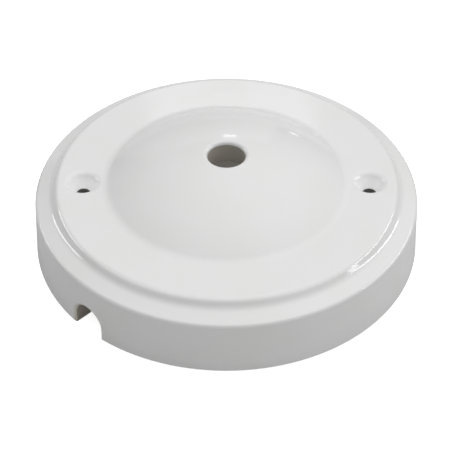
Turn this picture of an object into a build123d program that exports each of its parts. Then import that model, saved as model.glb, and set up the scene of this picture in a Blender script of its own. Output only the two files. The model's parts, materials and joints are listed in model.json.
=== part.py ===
from build123d import *

import os
from math import cos, radians, sin, sqrt, tan

# Porcelain ceiling rose, pressed and fired as one piece.
# It stands on its foot at z = 0, the lamp hole runs up the Z axis and the fixing screws lie on the X axis.
# All sizes are in millimetres and degrees.

# Outer wall and foot
base_diameter = 105.0
wall_draft = 1.5
wall_thickness = 6.0
foot_bevel = 0.5

# Rim, sloping ledge and step up to the face
rim_height = 15.95
rim_round = 1.1
ledge_width = 4.45
ledge_rise = 1.9
step_run = 1.35
step_rise = 2.25
step_foot_round = 2.6
step_top_round = 1.6

# Ring-shaped face that carries the screws
face_width = 13.6
face_rise = 0.2
face_thickness = 6.5

# Dome with the hole for the lamp's threaded tube
dome_rise = 9.8
dome_base_round = 4.0
dome_thickness = 6.0
lamp_hole_diameter = 10.2
lamp_hole_lip_round = 1.0
nut_seat_diameter = 20.0

# Inside of the hollow
cavity_draft = 2.0
cavity_corner_bevel = 2.0

# Two countersunk fixing screws and the posts that carry them
screw_inset = 13.5
screw_hole_diameter = 3.8
countersink_diameter = 8.6
countersink_angle = 62.0
countersink_lip_round = 1.6
post_diameter = 13.0
post_recess = 0.8
post_overlap = 1.5

# Arched notch for the cable
notch_azimuth = 225.5
notch_width = 9.5
notch_height = 8.2
notch_edge_round = 0.8

# Points of the outer profile, from the foot inwards, as radius and height
foot = (base_diameter / 2, 0)
rim = (foot[0] - rim_height * tan(radians(wall_draft)), rim_height)
step_foot = (rim[0] - ledge_width, rim[1] + ledge_rise)
step_top = (step_foot[0] - step_run, step_foot[1] + step_rise)
face_inner = (step_top[0] - face_width, step_top[1] + face_rise)
lip = (lamp_hole_diameter / 2, face_inner[1] + dome_rise)

# The dome is a ball, centred on the axis, through the inner edge of the face and the edge of the lamp hole
dome_center = (lip[0] ** 2 - face_inner[0] ** 2 + lip[1] ** 2 - face_inner[1] ** 2) / (2 * dome_rise)
dome_radius = sqrt(face_inner[0] ** 2 + (face_inner[1] - dome_center) ** 2)
dome_top = (0, dome_center + dome_radius)

# Points of the hollow: wall, roof under the face, ball inside the dome and flat seat round the lamp hole
inner_radius = dome_radius - dome_thickness
roof_height = step_top[1] - face_thickness
hollow_foot = (foot[0] - wall_thickness, 0)
hollow_corner = (hollow_foot[0] - roof_height * tan(radians(cavity_draft)), roof_height)
dome_foot = (sqrt(inner_radius**2 - (roof_height - dome_center) ** 2), roof_height)
seat = (nut_seat_diameter / 2, dome_center + sqrt(inner_radius**2 - (nut_seat_diameter / 2) ** 2))

# Screws, posts and notch
screw_radius = base_diameter / 2 - screw_inset
screw_face_height = step_top[1] + face_rise * (step_top[0] - screw_radius) / face_width
countersink_above_face = 1.0
countersink_spread = countersink_above_face * tan(radians(countersink_angle / 2))
notch_outward = Vector(cos(radians(notch_azimuth)), sin(radians(notch_azimuth)), 0)
notch_plane = Plane(origin=(0, 0, 0), x_dir=(-notch_outward.Y, notch_outward.X, 0), z_dir=notch_outward)


def ball_point(radius, start, end):
    """Point half way along the arc of the dome's ball between two heights."""
    middle = (start[0] + end[0]) / 2
    return (middle, dome_center + sqrt(radius**2 - middle**2))


def corner_at(sketch, point):
    """Corner of a sketch that lies at a point."""
    return sketch.vertices().sort_by_distance(Vector(*point))[0]


with BuildPart() as rose:
    # Solid of revolution with the outer shape
    with BuildSketch(Plane.YZ) as outer_profile:
        with BuildLine():
            Polyline(dome_top, (0, 0), foot, rim, step_foot, step_top, face_inner)
            ThreePointArc(face_inner, ball_point(dome_radius, face_inner, dome_top), dome_top)
        make_face()
        fillet(corner_at(outer_profile, rim), rim_round)
        fillet(corner_at(outer_profile, step_foot), step_foot_round)
        fillet(corner_at(outer_profile, step_top), step_top_round)
        fillet(corner_at(outer_profile, face_inner), dome_base_round)
    revolve(axis=Axis.Z)

    # Hollow underside
    with BuildSketch(Plane.YZ) as hollow_profile:
        with BuildLine():
            Polyline(seat, (0, seat[1]), (0, 0), hollow_foot, hollow_corner, dome_foot)
            ThreePointArc(dome_foot, ball_point(inner_radius, dome_foot, seat), seat)
        make_face()
        chamfer(corner_at(hollow_profile, hollow_corner), cavity_corner_bevel)
    revolve(axis=Axis.Z, mode=Mode.SUBTRACT)

    # Screw posts, standing out from the wall and ending short of the foot
    with BuildSketch(Plane.XY.offset(post_recess)):
        with PolarLocations(screw_radius, 2):
            Circle(post_diameter / 2)
            Rectangle(
                hollow_foot[0] + post_overlap - screw_radius,
                post_diameter,
                align=(Align.MIN, Align.CENTER),
            )
    extrude(amount=roof_height + post_overlap - post_recess)

    # Lamp hole with a rounded lip
    with Locations((0, 0, dome_top[1])):
        Hole(lamp_hole_diameter / 2)
    fillet(rose.edges(Select.LAST).sort_by(Axis.Z)[-1], lamp_hole_lip_round)

    # Countersunk screw holes, whose cones run out through the face
    with Locations((0, 0, screw_face_height + countersink_above_face)):
        with PolarLocations(screw_radius, 2):
            CounterSinkHole(
                screw_hole_diameter / 2,
                countersink_diameter / 2 + countersink_spread,
                counter_sink_angle=countersink_angle,
            )
    fillet(rose.edges(Select.NEW).sort_by(Axis.Z)[-2:], countersink_lip_round)

    # Cable notch through the wall
    with BuildSketch(notch_plane.offset(hollow_corner[0] - wall_thickness / 2)):
        Rectangle(notch_width, notch_height - notch_width / 2, align=(Align.CENTER, Align.MIN))
        with Locations((0, notch_height - notch_width / 2)):
            Circle(notch_width / 2)
    extrude(amount=2 * wall_thickness, mode=Mode.SUBTRACT)
    fillet(rose.edges(Select.NEW).filter_by(lambda edge: edge.center().Z > foot_bevel), notch_edge_round)

    # Bevelled edges of the foot, outside and inside
    with BuildSketch(Plane.YZ):
        for edge, side in ((foot, 1), (hollow_foot, -1)):
            inward = edge[0] - 2 * side * foot_bevel
            outward = edge[0] + side * foot_bevel
            with BuildLine():
                Polyline((inward, -foot_bevel), (outward, -foot_bevel), (outward, 2 * foot_bevel), close=True)
            make_face()
    revolve(axis=Axis.Z, mode=Mode.SUBTRACT)

rose.part.label = "rose_body"

os.makedirs("parts", exist_ok=True)
export_step(rose.part, "parts/rose_body.step")
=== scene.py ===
import json
import math

import bpy
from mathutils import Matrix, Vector


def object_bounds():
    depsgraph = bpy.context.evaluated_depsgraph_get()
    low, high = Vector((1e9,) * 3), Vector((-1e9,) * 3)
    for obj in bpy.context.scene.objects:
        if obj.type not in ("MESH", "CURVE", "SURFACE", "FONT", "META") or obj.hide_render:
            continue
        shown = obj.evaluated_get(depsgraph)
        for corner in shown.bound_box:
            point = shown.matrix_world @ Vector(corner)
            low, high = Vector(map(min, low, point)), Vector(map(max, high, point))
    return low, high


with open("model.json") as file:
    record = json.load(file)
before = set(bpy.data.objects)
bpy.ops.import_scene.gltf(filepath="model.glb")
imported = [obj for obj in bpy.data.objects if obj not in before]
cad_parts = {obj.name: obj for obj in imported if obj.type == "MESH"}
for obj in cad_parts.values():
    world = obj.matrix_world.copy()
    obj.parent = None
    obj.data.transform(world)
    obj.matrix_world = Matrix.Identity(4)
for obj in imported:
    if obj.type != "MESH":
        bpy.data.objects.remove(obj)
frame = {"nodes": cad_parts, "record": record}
cad_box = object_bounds()

# Finish of a glazed porcelain ceiling rose, and the plain studio it stands in.
# Lengths are in metres. The foot stands on the floor at z = 0 and the camera stands on the -Y side.

bl_info = {
    "name": "Porcelain Ceiling Rose",
    "version": (1, 0, 0),
    "blender": (4, 5, 0),
    "location": "View3D > Sidebar > Ceiling Rose",
    "description": "Glazes a porcelain ceiling rose and sets it in a plain studio",
    "category": "Object",
}

BODY = "rose_body"
MOUNTS = {mount["name"]: mount for mount in frame["record"]["mounts"]}
MM = 0.001


# Settings that a user would change


class RoseFinish(bpy.types.PropertyGroup):
    """Colours and sizes of the porcelain's finish."""

    glaze_colour: bpy.props.FloatVectorProperty(
        name="Glaze Colour",
        description="Colour of the white body under its clear glaze",
        subtype="COLOR",
        size=3,
        min=0,
        max=1,
        default=(0.82, 0.82, 0.82),
    )
    thin_colour: bpy.props.FloatVectorProperty(
        name="Thin Glaze Colour",
        description="Colour where the glaze lies thinner",
        subtype="COLOR",
        size=3,
        min=0,
        max=1,
        default=(0.81, 0.808, 0.803),
    )
    # Painted shade: the unglazed body is made much darker than the white body. This is partly its own
    # warm tone and partly painted shade for the hole, the notch and the hollow
    bare_and_shade_colour: bpy.props.FloatVectorProperty(
        name="Bare And Shade Colour",
        description="Colour of the unglazed body, in the hollow, the holes and the notch",
        subtype="COLOR",
        size=3,
        min=0,
        max=1,
        default=(0.46, 0.43, 0.385),
    )
    bare_and_shade_second_colour: bpy.props.FloatVectorProperty(
        name="Second Bare And Shade Colour",
        description="Second tone that mottles the unglazed body",
        subtype="COLOR",
        size=3,
        min=0,
        max=1,
        default=(0.4, 0.37, 0.325),
    )
    speck_colour: bpy.props.FloatVectorProperty(
        name="Speck Colour",
        description="Colour of the fine dark specks in the unglazed body",
        subtype="COLOR",
        size=3,
        min=0,
        max=1,
        default=(0.24, 0.21, 0.18),
    )
    edge_colour: bpy.props.FloatVectorProperty(
        name="Edge Colour",
        description="Colour of the glaze where it thins out round the cable notch",
        subtype="COLOR",
        size=3,
        min=0,
        max=1,
        default=(0.72, 0.68, 0.58),
    )
    # Painted light: a lighter colour in the countersinks that lifts the shade in them
    countersink_light_colour: bpy.props.FloatVectorProperty(
        name="Countersink Light Colour",
        description="Colour where the glaze has run together, in the countersinks",
        subtype="COLOR",
        size=3,
        min=0,
        max=1,
        default=(0.93, 0.93, 0.93),
    )
    # Painted shade: a dark colour in the screw holes for the shade deep inside them
    bore_shade_colour: bpy.props.FloatVectorProperty(
        name="Bore Shade Colour",
        description="Colour of the dust that sits in the screw holes",
        subtype="COLOR",
        size=3,
        min=0,
        max=1,
        default=(0.16, 0.157, 0.15),
    )
    mottle_size: bpy.props.FloatProperty(
        name="Mottle Size",
        description="Distance over which the glaze changes its thickness",
        subtype="DISTANCE",
        unit="LENGTH",
        default=0.014,
    )
    speck_spacing: bpy.props.FloatProperty(
        name="Speck Spacing",
        description="Usual distance between neighbouring specks or pinholes",
        subtype="DISTANCE",
        unit="LENGTH",
        default=0.004,
    )
    ripple_height: bpy.props.FloatProperty(
        name="Ripple Height",
        description="Height of the glaze's slow ripple",
        subtype="DISTANCE",
        unit="LENGTH",
        default=0.00002,
    )


class RoseShape(bpy.types.PropertyGroup):
    """Places on the porcelain body where it was left bare of glaze."""

    lamp_hole_radius: bpy.props.FloatProperty(
        name="Lamp Hole Radius",
        description="Radius of the hole in the middle of the dome",
        subtype="DISTANCE",
        unit="LENGTH",
        default=MOUNTS["lamp_hole"]["dims"]["r_mm"] * MM,
    )
    lamp_hole_top: bpy.props.FloatProperty(
        name="Lamp Hole Top",
        description="Height of the hole's straight wall, where the glazed lip begins",
        subtype="DISTANCE",
        unit="LENGTH",
        default=MOUNTS["lamp_hole"]["pos_m"][2] + MOUNTS["lamp_hole"]["dims"]["length_mm"] / 2 * MM,
    )
    screw_spacing: bpy.props.FloatProperty(
        name="Screw Spacing",
        description="Distance between the two screw holes",
        subtype="DISTANCE",
        unit="LENGTH",
        default=MOUNTS["ceiling_screws"]["dims"]["spacing_x_mm"] * MM,
    )
    screw_hole_radius: bpy.props.FloatProperty(
        name="Screw Hole Radius",
        description="Radius of the screw holes below their countersinks",
        subtype="DISTANCE",
        unit="LENGTH",
        default=MOUNTS["ceiling_screws"]["dims"]["hole_r_mm"] * MM,
    )
    hollow_radius: bpy.props.FloatProperty(
        name="Hollow Radius",
        description="Radius of the hollow under the rose, at the foot",
        subtype="DISTANCE",
        unit="LENGTH",
        default=0.0471,
    )
    hollow_height: bpy.props.FloatProperty(
        name="Hollow Height",
        description="Height of the hollow's roof under the face",
        subtype="DISTANCE",
        unit="LENGTH",
        default=0.0137,
    )
    notch_azimuth: bpy.props.FloatProperty(
        name="Notch Azimuth",
        description="Side of the rose on which the cable notch lies, counted from the right hand screw",
        subtype="ANGLE",
        unit="ROTATION",
        default=math.radians(225.5),
    )
    notch_width: bpy.props.FloatProperty(
        name="Notch Width",
        description="Width of the cable notch",
        subtype="DISTANCE",
        unit="LENGTH",
        default=0.0095,
    )
    notch_height: bpy.props.FloatProperty(
        name="Notch Height",
        description="Height of the cable notch's arch",
        subtype="DISTANCE",
        unit="LENGTH",
        default=0.0082,
    )


class RoseStudio(bpy.types.PropertyGroup):
    """Sizes and colours of the floor, the lamps and the camera."""

    floor_colour: bpy.props.FloatVectorProperty(
        name="Floor Colour",
        description="Colour that the floor throws back on the rose",
        subtype="COLOR",
        size=3,
        min=0,
        max=1,
        default=(0.6, 0.6, 0.6),
    )
    floor_white: bpy.props.FloatProperty(
        name="Floor White",
        description="White that the floor shows by itself, beside the light that falls on it",
        default=0.85,
    )
    white_gloss: bpy.props.FloatProperty(
        name="White Gloss",
        description="Share of the background's white that mirrors in the glaze",
        subtype="FACTOR",
        min=0,
        max=1,
        default=0.05,
    )
    floor_size: bpy.props.FloatProperty(
        name="Floor Size",
        description="Length of the floor's sides",
        subtype="DISTANCE",
        unit="LENGTH",
        default=6.0,
    )
    lamp_distance: bpy.props.FloatProperty(
        name="Lamp Distance",
        description="Distance of the lamps from the rose",
        subtype="DISTANCE",
        unit="LENGTH",
        default=1.0,
    )
    sky_strength: bpy.props.FloatProperty(
        name="Sky Strength",
        description="Strength of the even light from all around",
        default=0.01,
    )
    camera_distance: bpy.props.FloatProperty(
        name="Camera Distance",
        description="Distance from the camera to the point it looks at",
        subtype="DISTANCE",
        unit="LENGTH",
        default=0.5695,
    )
    camera_elevation: bpy.props.FloatProperty(
        name="Camera Elevation",
        description="Angle at which the camera looks down on the rose",
        subtype="ANGLE",
        unit="ROTATION",
        default=math.radians(41.38),
    )
    camera_aim: bpy.props.FloatProperty(
        name="Camera Aim",
        description="Height above the floor of the point the camera looks at",
        subtype="DISTANCE",
        unit="LENGTH",
        default=0.00422,
    )
    camera_side: bpy.props.FloatProperty(
        name="Camera Side",
        description="How far the camera and the point it looks at stand to the right of the middle",
        subtype="DISTANCE",
        unit="LENGTH",
        default=-0.0001,
    )
    camera_lens: bpy.props.FloatProperty(
        name="Camera Lens",
        description="Focal length for a sensor 36 mm wide",
        subtype="DISTANCE_CAMERA",
        unit="CAMERA",
        default=163.8,
    )


# Sides from which the sky is brighter: direction, strength added there and how fast it falls off
SKY_SIDES = {
    "Up": ((0, 0, 1), 1.56, 2.0),
    "Right": ((1, 0, 0), 0.43, 1.0),
    "Back": ((0, 1, 0), 0.05, 1.0),
}

# Soft lamps that only light the rose: azimuth, elevation, width, height and power
SOFT_LAMPS = {
    "Right lamp": (13, 23, 1.06, 0.42, 0.70),
    "Left back lamp": (154, 22, 0.63, 0.30, 0.25),
}

# Strip lamps that only mirror in the glaze, given in the same way
STRIP_LAMPS = {
    "Right strip": (10.5, 20, 0.83, 0.18, 3.2),
    "Low right strip": (-12.5, 9, 0.13, 0.12, 0.28),
    "Left strip": (160, 20, 0.55, 0.17, 2.0),
    "Back screen": (98, 14, 0.75, 0.48, 0.34),
    "Back strip": (88.7, 23.7, 0.07, 0.03, 0.019),
    "High back strip": (89.6, 36.5, 0.15, 0.07, 0.034),
    "Low back strip": (73.6, 4.4, 0.035, 0.02, 0.007),
}

# Height at which the lamps are aimed, about that of the face
LAMP_AIM = 0.02

# Camera: azimuth it stands at, width of its sensor in millimetres and nearest distance it sees
CAMERA_AZIMUTH = 270
SENSOR_WIDTH = 36
CLIP_START = 0.01

# Floor: roughness, share of its white that is left inside the hollow as a dim glow in the bare colour,
# which is painted shade for the shaded floor there, and the ring in which the white comes in, as shares
# of the hollow's radius
FLOOR_ROUGHNESS = 0.9
HOLLOW_PAINTED_GLOW = 0.25
WHITE_RING = (0.85, 0.95)

# Fired clay: detail of its mottling, and limits between its two tones, of a speck round the middle of
# its cell, and between cells without and with a speck
MOTTLE_DETAIL = 3.0
MOTTLE_LIMITS = (0.35, 0.7)
SPECK_LIMITS = (0.06, 0.02)
SPECK_CELLS = (0.75, 0.95)

# Glaze: roughness where it is thick and thin, refractive index, fineness and detail of its ripple, and
# depth of a pinhole as a share of the ripple's height
GLAZE_ROUGHNESS = (0.07, 0.12)
GLAZE_IOR = 1.5
RIPPLE_SCALE = 90.0
RIPPLE_DETAIL = 1.0
PINHOLE_DEPTH = 0.4

# Bare body: roughness of its two tones, and fineness, detail and height of its grain
BARE_ROUGHNESS = (0.7, 0.85)
GRAIN_SCALE = 2500.0
GRAIN_DETAIL = 4.0
GRAIN_HEIGHT = 0.06 * MM

# Lighter colour in the countersinks, which is painted light, and darker colour in the screw holes,
# which is painted shade:
# radius where each is full and radius where it has faded out, as shares of the screw hole's radius
COUNTERSINK_LIGHT_RADII = (1.5, 2.6)
BORE_SHADE_RADII = (1.05, 1.3)

# Notch: distance over which its edge fades out, and where the wall begins, as a share of the
# hollow's radius
NOTCH_FADE = 1.2 * MM
WALL_START = 0.9

# Bare faces: how far outside a hole's radius they may lie, and how far down those of the foot must face
FACE_SLACK = 0.05 * MM
DOWNWARD = -0.75


def point_around(azimuth, elevation, distance):
    """Point at an azimuth and elevation, in degrees, from the middle of the floor."""
    across = distance * math.cos(math.radians(elevation))
    return Vector(
        (
            across * math.cos(math.radians(azimuth)),
            across * math.sin(math.radians(azimuth)),
            distance * math.sin(math.radians(elevation)),
        )
    )


def notch_directions(shape):
    """Direction out through the middle of the cable notch, and direction across it."""
    outward = point_around(math.degrees(shape.notch_azimuth), 0, 1)
    return outward, Vector((-outward.y, outward.x, 0))


def aim(obj, target):
    """Turns an object so that its -Z axis points at a target."""
    obj.rotation_euler = (target - obj.location).to_track_quat("-Z", "Y").to_euler()


# Shader nodes


def feed(tree, socket, value):
    """Links the output of another node to a socket, or sets the socket to a plain value."""
    if isinstance(value, bpy.types.NodeSocket):
        tree.links.new(value, socket)
    else:
        socket.default_value = value


def place_position(tree):
    """Place on the object, in metres from its own origin."""
    return tree.nodes.new("ShaderNodeTexCoord").outputs["Object"]


def place_math(tree, operation, *values):
    """Math node whose inputs are numbers or the outputs of other nodes."""
    node = tree.nodes.new("ShaderNodeMath")
    node.operation = operation
    for socket, value in zip(node.inputs, values):
        feed(tree, socket, value)
    return node.outputs[0]


def place_ramp(tree, value, start, end):
    """Value rising smoothly from 0 to 1 between two limits."""
    node = tree.nodes.new("ShaderNodeMapRange")
    node.interpolation_type = "SMOOTHSTEP"
    feed(tree, node.inputs["Value"], value)
    feed(tree, node.inputs["From Min"], start)
    feed(tree, node.inputs["From Max"], end)
    return node.outputs["Result"]


def place_range(tree, value, low, high):
    """Value from 0 to 1 spread between a low and a high number."""
    node = tree.nodes.new("ShaderNodeMapRange")
    feed(tree, node.inputs["Value"], value)
    feed(tree, node.inputs["To Min"], low)
    feed(tree, node.inputs["To Max"], high)
    return node.outputs["Result"]


def place_noise(tree, position, scale, detail):
    """Noise texture at a scale that is a number or the output of another node."""
    node = tree.nodes.new("ShaderNodeTexNoise")
    feed(tree, node.inputs["Vector"], position)
    feed(tree, node.inputs["Scale"], scale)
    feed(tree, node.inputs["Detail"], detail)
    return node.outputs["Fac"]


def place_dot(tree, position, axis):
    """Distance of a position along an axis."""
    node = tree.nodes.new("ShaderNodeVectorMath")
    node.operation = "DOT_PRODUCT"
    feed(tree, node.inputs[0], position)
    feed(tree, node.inputs[1], axis)
    return node.outputs["Value"]


def place_distance(tree, first, second):
    """Length of the diagonal between two lengths at right angles."""
    square = place_math(tree, "MULTIPLY", second, second)
    return place_math(tree, "SQRT", place_math(tree, "MULTIPLY_ADD", first, first, square))


def place_group(tree, group, values):
    """Node group in a material, with the material's own values."""
    node = tree.nodes.new("ShaderNodeGroup")
    node.node_tree = group
    for socket, value in values.items():
        feed(tree, node.inputs[socket], value)
    return node


def place_bump(tree, shader, height, distance):
    """Bump that feeds the shader's normal."""
    bump = tree.nodes.new("ShaderNodeBump")
    feed(tree, bump.inputs["Strength"], 1.0)
    feed(tree, bump.inputs["Distance"], distance)
    feed(tree, bump.inputs["Height"], height)
    tree.links.new(bump.outputs["Normal"], shader.inputs["Normal"])


def mix_colours(tree, mask, first, second):
    """Mix of two colours by a mask, each a plain colour or the output of another node."""
    node = tree.nodes.new("ShaderNodeMix")
    node.data_type = "RGBA"
    feed(tree, node.inputs["Factor"], mask)
    for name, colour in (("A", first), ("B", second)):
        is_plain = not isinstance(colour, bpy.types.NodeSocket)
        feed(tree, node.inputs[name], (*colour, 1) if is_plain else colour)
    return node.outputs["Result"]


def mix_shaders(tree, mask, first, second):
    """Mix of two shaders by a mask."""
    node = tree.nodes.new("ShaderNodeMixShader")
    for socket, source in zip(node.inputs, (mask, first, second)):
        tree.links.new(source, socket)
    return node.outputs["Shader"]


# Shader node groups


def new_group(name, inputs, outputs):
    """Empty shader node group with its named sockets, and its input and output nodes."""
    group = bpy.data.node_groups.new(name, "ShaderNodeTree")
    for socket, kind in inputs.items():
        group.interface.new_socket(socket, in_out="INPUT", socket_type=kind)
    for socket, kind in outputs.items():
        group.interface.new_socket(socket, in_out="OUTPUT", socket_type=kind)
    return group, group.nodes.new("NodeGroupInput"), group.nodes.new("NodeGroupOutput")


def build_clay_group():
    """Fired clay: two tones that mottle, and fine specks here and there."""
    group, given, result = new_group(
        "Fired Clay",
        {
            "Tone": "NodeSocketColor",
            "Second Tone": "NodeSocketColor",
            "Mottle Size": "NodeSocketFloat",
            "Speck Spacing": "NodeSocketFloat",
        },
        {"Color": "NodeSocketColor", "Mottle": "NodeSocketFloat", "Specks": "NodeSocketFloat"},
    )
    position = place_position(group)
    mottle_scale = place_math(group, "DIVIDE", 1.0, given.outputs["Mottle Size"])
    noise = place_noise(group, position, mottle_scale, MOTTLE_DETAIL)
    mottle = place_ramp(group, noise, *MOTTLE_LIMITS)
    tone = mix_colours(group, mottle, given.outputs["Tone"], given.outputs["Second Tone"])

    cells = group.nodes.new("ShaderNodeTexVoronoi")
    speck_scale = place_math(group, "DIVIDE", 1.0, given.outputs["Speck Spacing"])
    feed(group, cells.inputs["Vector"], position)
    feed(group, cells.inputs["Scale"], speck_scale)
    near = place_ramp(group, cells.outputs["Distance"], *SPECK_LIMITS)
    apart = group.nodes.new("ShaderNodeSeparateColor")
    group.links.new(cells.outputs["Color"], apart.inputs["Color"])
    chosen = place_ramp(group, apart.outputs["Red"], *SPECK_CELLS)
    specks = place_math(group, "MULTIPLY", near, chosen)

    group.links.new(tone, result.inputs["Color"])
    group.links.new(mottle, result.inputs["Mottle"])
    group.links.new(specks, result.inputs["Specks"])
    return group


def place_clay(tree, group, finish, tone, second_tone):
    """Fired clay in a material, with the material's own two tones."""
    values = {
        "Tone": (*tone, 1),
        "Second Tone": (*second_tone, 1),
        "Mottle Size": finish.mottle_size,
        "Speck Spacing": finish.speck_spacing,
    }
    return place_group(tree, group, values)


def build_screw_group(shape):
    """Nearness to the screw holes: 1 along the line of each screw, fading out between two radii."""
    group, given, result = new_group(
        "Screw Nearness",
        {"Full Radius": "NodeSocketFloat", "Fading Radius": "NodeSocketFloat"},
        {"Nearness": "NodeSocketFloat"},
    )
    apart = group.nodes.new("ShaderNodeSeparateXYZ")
    group.links.new(place_position(group), apart.inputs["Vector"])
    sideways = place_math(group, "ABSOLUTE", apart.outputs["X"])
    along = place_math(group, "SUBTRACT", sideways, shape.screw_spacing / 2)
    away = place_distance(group, along, apart.outputs["Y"])
    nearness = place_ramp(group, away, given.outputs["Fading Radius"], given.outputs["Full Radius"])
    group.links.new(nearness, result.inputs["Nearness"])
    return group


def place_screw_nearness(tree, group, shape, radii):
    """Nearness to the screw holes in a material, with the material's own share of their radius."""
    full, fading = (share * shape.screw_hole_radius for share in radii)
    node = place_group(tree, group, {"Full Radius": full, "Fading Radius": fading})
    return node.outputs["Nearness"]


# Materials


def new_material(name):
    """Material with a plain Principled shader, and that shader."""
    material = bpy.data.materials.new(name)
    material.use_nodes = True
    return material, material.node_tree, material.node_tree.nodes["Principled BSDF"]


def place_notch_edge(tree, shape):
    """Mask that is 1 at the edge of the cable notch and fades out over the wall beside it."""
    outward, across = notch_directions(shape)
    position = place_position(tree)
    half = shape.notch_width / 2
    height = place_dot(tree, position, (0, 0, 1))
    over_arch = place_math(tree, "SUBTRACT", height, shape.notch_height - half)
    above = place_math(tree, "MAXIMUM", over_arch, 0.0)
    away = place_distance(tree, above, place_dot(tree, position, across))
    near = place_ramp(tree, away, half + NOTCH_FADE, half)
    out = place_dot(tree, position, outward)
    in_wall = place_math(tree, "GREATER_THAN", out, shape.hollow_radius * WALL_START)
    return place_math(tree, "MULTIPLY", near, in_wall)


def build_glaze(finish, shape, clay, screws):
    """Clear glaze over white porcelain, thinner round the notch, with painted light that lifts the
    shade in the countersinks.
    """
    material, tree, shader = new_material("Glazed porcelain")
    body = place_clay(tree, clay, finish, finish.glaze_colour, finish.thin_colour)
    edge = place_notch_edge(tree, shape)
    colour = mix_colours(tree, edge, body.outputs["Color"], finish.edge_colour)
    # Painted light: the countersinks are coloured lighter to lift their shade
    countersink_light = place_screw_nearness(tree, screws, shape, COUNTERSINK_LIGHT_RADII)
    colour = mix_colours(tree, countersink_light, colour, finish.countersink_light_colour)
    gloss = place_range(tree, body.outputs["Mottle"], *GLAZE_ROUGHNESS)
    tree.links.new(colour, shader.inputs["Base Color"])
    tree.links.new(gloss, shader.inputs["Roughness"])
    shader.inputs["IOR"].default_value = GLAZE_IOR
    ripple = place_noise(tree, place_position(tree), RIPPLE_SCALE, RIPPLE_DETAIL)
    pinholes = place_math(tree, "MULTIPLY", body.outputs["Specks"], -PINHOLE_DEPTH)
    place_bump(tree, shader, place_math(tree, "ADD", ripple, pinholes), finish.ripple_height)
    return material


def build_bare_clay(finish, shape, clay, screws):
    """Bare fired body, grainy and specked, where there is no glaze, in a colour darkened partly as
    painted shade, and painted darker still in the screw holes as painted shade.
    """
    material, tree, shader = new_material("Bare porcelain with painted shade")
    # Painted shade: the bare tones are darkened to stand for the shade in the hole, the notch and the
    # hollow
    body = place_clay(tree, clay, finish, finish.bare_and_shade_colour, finish.bare_and_shade_second_colour)
    colour = mix_colours(tree, body.outputs["Specks"], body.outputs["Color"], finish.speck_colour)
    # Painted shade: the screw holes are coloured dark for the shade deep inside them
    bore_shade = place_screw_nearness(tree, screws, shape, BORE_SHADE_RADII)
    colour = mix_colours(tree, bore_shade, colour, finish.bore_shade_colour)
    rough = place_range(tree, body.outputs["Mottle"], *BARE_ROUGHNESS)
    tree.links.new(colour, shader.inputs["Base Color"])
    tree.links.new(rough, shader.inputs["Roughness"])
    grain = place_noise(tree, place_position(tree), GRAIN_SCALE, GRAIN_DETAIL)
    place_bump(tree, shader, grain, GRAIN_HEIGHT)
    return material


def place_shown(tree, studio):
    """Mask for the background's white: 1 where the camera sees it, less where the glaze mirrors it."""
    seen = tree.nodes.new("ShaderNodeLightPath")
    mirrored = place_math(tree, "MULTIPLY", seen.outputs["Is Glossy Ray"], studio.white_gloss)
    shown = place_math(tree, "MAXIMUM", seen.outputs["Is Camera Ray"], mirrored)
    return place_math(tree, "MAXIMUM", shown, seen.outputs["Is Transmission Ray"])


def place_clear(tree, radius):
    """Mask that is 1 where the floor is seen from below, and for light that falls under the rose."""
    light = tree.nodes.new("ShaderNodeLightPath")
    diffuse, shadow = light.outputs["Is Diffuse Ray"], light.outputs["Is Shadow Ray"]
    under = place_math(tree, "LESS_THAN", radius, cad_box[1][0])
    passing = place_math(tree, "MAXIMUM", diffuse, shadow)
    below = tree.nodes.new("ShaderNodeNewGeometry").outputs["Backfacing"]
    return place_math(tree, "MULTIPLY_ADD", under, passing, below)


def build_floor(studio, shape, finish):
    """Pale floor that looks white outside the rose, glows dimly in the bare colour in its hollow as
    painted shade, and is clear from below.
    """
    material, tree, shader = new_material("Pale floor")
    shader.inputs["Base Color"].default_value = (*studio.floor_colour, 1)
    shader.inputs["Roughness"].default_value = FLOOR_ROUGHNESS
    shader.inputs["Specular IOR Level"].default_value = 0.0
    plain = shader.outputs["BSDF"]

    far = tree.nodes.new("ShaderNodeVectorMath")
    far.operation = "LENGTH"
    tree.links.new(place_position(tree), far.inputs[0])
    radius = far.outputs["Value"]
    outside = place_ramp(tree, radius, *(share * shape.hollow_radius for share in WHITE_RING))

    # Painted shade: inside the hollow the floor glows dimly in the bare colour to stand for the shaded
    # floor there
    white = tree.nodes.new("ShaderNodeEmission")
    white.inputs["Strength"].default_value = studio.floor_white
    tree.links.new(mix_colours(tree, outside, finish.bare_and_shade_colour, (1, 1, 1)), white.inputs["Color"])
    total = tree.nodes.new("ShaderNodeAddShader")
    tree.links.new(plain, total.inputs[0])
    tree.links.new(white.outputs["Emission"], total.inputs[1])
    lit = place_math(tree, "MAXIMUM", outside, HOLLOW_PAINTED_GLOW)
    shown = place_math(tree, "MULTIPLY", place_shown(tree, studio), lit)
    floor = mix_shaders(tree, shown, plain, total.outputs["Shader"])

    nothing = tree.nodes.new("ShaderNodeBsdfTransparent").outputs["BSDF"]
    surface = mix_shaders(tree, place_clear(tree, radius), floor, nothing)
    tree.links.new(surface, tree.nodes["Material Output"].inputs["Surface"])
    return material


# Operators


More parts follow.
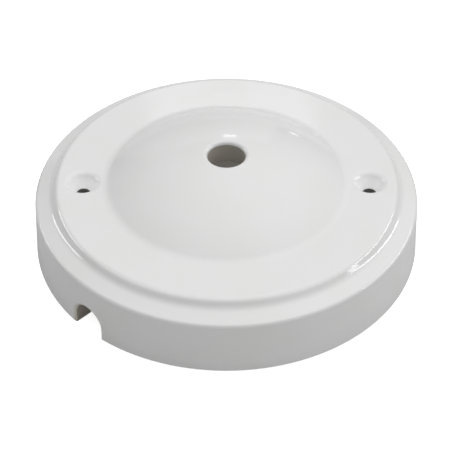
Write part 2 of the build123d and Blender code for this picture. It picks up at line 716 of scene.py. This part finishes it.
class OBJECT_OT_glaze_rose(bpy.types.Operator):
    """Gives the porcelain body its glaze, and leaves the hollow, holes, notch and foot bare"""

    bl_idname = "object.glaze_rose"
    bl_label = "Glaze the Rose"

    def execute(self, context):
        rose = frame["nodes"].get(BODY)
        if rose is None:
            raise RuntimeError(f"the frame has no {BODY} to glaze")
        finish = context.scene.rose_finish
        shape = context.scene.rose_shape
        clay = build_clay_group()
        screws = build_screw_group(shape)
        rose.data.materials.clear()
        rose.data.materials.append(build_glaze(finish, shape, clay, screws))
        rose.data.materials.append(build_bare_clay(finish, shape, clay, screws))
        for face in rose.data.polygons:
            face.material_index = int(self.is_bare(face, shape))
        return {"FINISHED"}

    def is_bare(self, face, shape):
        """True for a face of the hollow, of the foot, or of the cut through a hole or the notch."""
        place = face.center
        radius = place.xy.length
        from_screw = Vector((abs(place.x) - shape.screw_spacing / 2, place.y)).length
        outward, across = notch_directions(shape)
        half = shape.notch_width / 2
        above = max(place.z - (shape.notch_height - half), 0)
        from_notch = math.hypot(place.dot(across), above)
        in_wall = place.dot(outward) > shape.hollow_radius * WALL_START
        return (
            face.normal.z < DOWNWARD
            or (radius < shape.hollow_radius and place.z < shape.hollow_height)
            or (radius < shape.lamp_hole_radius + FACE_SLACK and place.z < shape.lamp_hole_top)
            or from_screw < shape.screw_hole_radius + FACE_SLACK
            or (from_notch < half + FACE_SLACK and in_wall)
        )


class SCENE_OT_set_rose_studio(bpy.types.Operator):
    """Lays the floor, hangs the lamps and sets up the camera"""

    bl_idname = "scene.set_rose_studio"
    bl_label = "Set the Studio"

    def execute(self, context):
        scene = context.scene
        studio = scene.rose_studio
        if studio.lamp_distance <= 0 or studio.camera_distance <= 0:
            raise RuntimeError("the lamps and the camera need room in front of the rose")
        scene.view_settings.view_transform = "Standard"
        self.lay_floor(scene, studio)
        self.light_sky(scene, studio)
        for name, lamp in SOFT_LAMPS.items():
            self.hang_lamp(scene, studio, name, *lamp).visible_glossy = False
        for name, lamp in STRIP_LAMPS.items():
            self.hang_lamp(scene, studio, name, *lamp).visible_diffuse = False
        self.set_camera(scene, studio)
        return {"FINISHED"}

    def lay_floor(self, scene, studio):
        """Square floor with the rose on its middle."""
        half = studio.floor_size / 2
        corners = [(-half, -half, 0), (half, -half, 0), (half, half, 0), (-half, half, 0)]
        mesh = bpy.data.meshes.new("Floor")
        mesh.from_pydata(corners, [], [(0, 1, 2, 3)])
        mesh.materials.append(build_floor(studio, scene.rose_shape, scene.rose_finish))
        floor = bpy.data.objects.new("Floor", mesh)
        scene.collection.objects.link(floor)

    def light_sky(self, scene, studio):
        """Sky that grows softly brighter towards some of its sides, and looks white to the camera."""
        world = bpy.data.worlds.new("Studio")
        scene.world = world
        world.use_nodes = True
        tree = world.node_tree
        direction = tree.nodes.new("ShaderNodeTexCoord").outputs["Generated"]
        strength = studio.sky_strength
        for side, added, fall in SKY_SIDES.values():
            facing = place_math(tree, "MAXIMUM", place_dot(tree, direction, side), 0.0)
            facing = place_math(tree, "POWER", facing, fall)
            strength = place_math(tree, "MULTIPLY_ADD", facing, added, strength)
        missing = place_math(tree, "SUBTRACT", 1.0, strength)
        strength = place_math(tree, "MULTIPLY_ADD", place_shown(tree, studio), missing, strength)
        sky = tree.nodes["Background"]
        sky.inputs["Color"].default_value = (1, 1, 1, 1)
        tree.links.new(strength, sky.inputs["Strength"])

    def hang_lamp(self, scene, studio, name, azimuth, elevation, width, height, power):
        """Square-cornered lamp that faces the rose."""
        data = bpy.data.lights.new(name, "AREA")
        data.shape = "RECTANGLE"
        data.size = width
        data.size_y = height
        data.energy = power
        lamp = bpy.data.objects.new(name, data)
        scene.collection.objects.link(lamp)
        lamp.location = point_around(azimuth, elevation, studio.lamp_distance)
        aim(lamp, Vector((0, 0, LAMP_AIM)))
        return lamp

    def set_camera(self, scene, studio):
        """Camera that looks down on the rose from the front."""
        data = bpy.data.cameras.new("Camera")
        data.sensor_width = SENSOR_WIDTH
        data.lens = studio.camera_lens
        data.clip_start = CLIP_START
        camera = bpy.data.objects.new("Camera", data)
        scene.collection.objects.link(camera)
        target = Vector((studio.camera_side, 0, studio.camera_aim))
        elevation = math.degrees(studio.camera_elevation)
        camera.location = target + point_around(CAMERA_AZIMUTH, elevation, studio.camera_distance)
        aim(camera, target)
        scene.camera = camera


class VIEW3D_PT_ceiling_rose(bpy.types.Panel):
    """Settings of the rose, and the steps that finish it, in order"""

    bl_label = "Ceiling Rose"
    bl_space_type = "VIEW_3D"
    bl_region_type = "UI"
    bl_category = "Ceiling Rose"

    def draw(self, context):
        scene = context.scene
        for settings in (scene.rose_finish, scene.rose_shape, scene.rose_studio):
            for name in settings.__annotations__:
                self.layout.prop(settings, name)
        for step in STEPS:
            self.layout.operator(step.bl_idname)


STEPS = (OBJECT_OT_glaze_rose, SCENE_OT_set_rose_studio)
CLASSES = (RoseFinish, RoseShape, RoseStudio, *STEPS, VIEW3D_PT_ceiling_rose)


def register():
    for cls in CLASSES:
        bpy.utils.register_class(cls)
    bpy.types.Scene.rose_finish = bpy.props.PointerProperty(type=RoseFinish)
    bpy.types.Scene.rose_shape = bpy.props.PointerProperty(type=RoseShape)
    bpy.types.Scene.rose_studio = bpy.props.PointerProperty(type=RoseStudio)


def unregister():
    del bpy.types.Scene.rose_studio
    del bpy.types.Scene.rose_shape
    del bpy.types.Scene.rose_finish
    for cls in reversed(CLASSES):
        bpy.utils.unregister_class(cls)


def main():
    register()
    bpy.ops.object.glaze_rose()
    bpy.ops.scene.set_rose_studio()


if __name__ == "__main__":
    main()
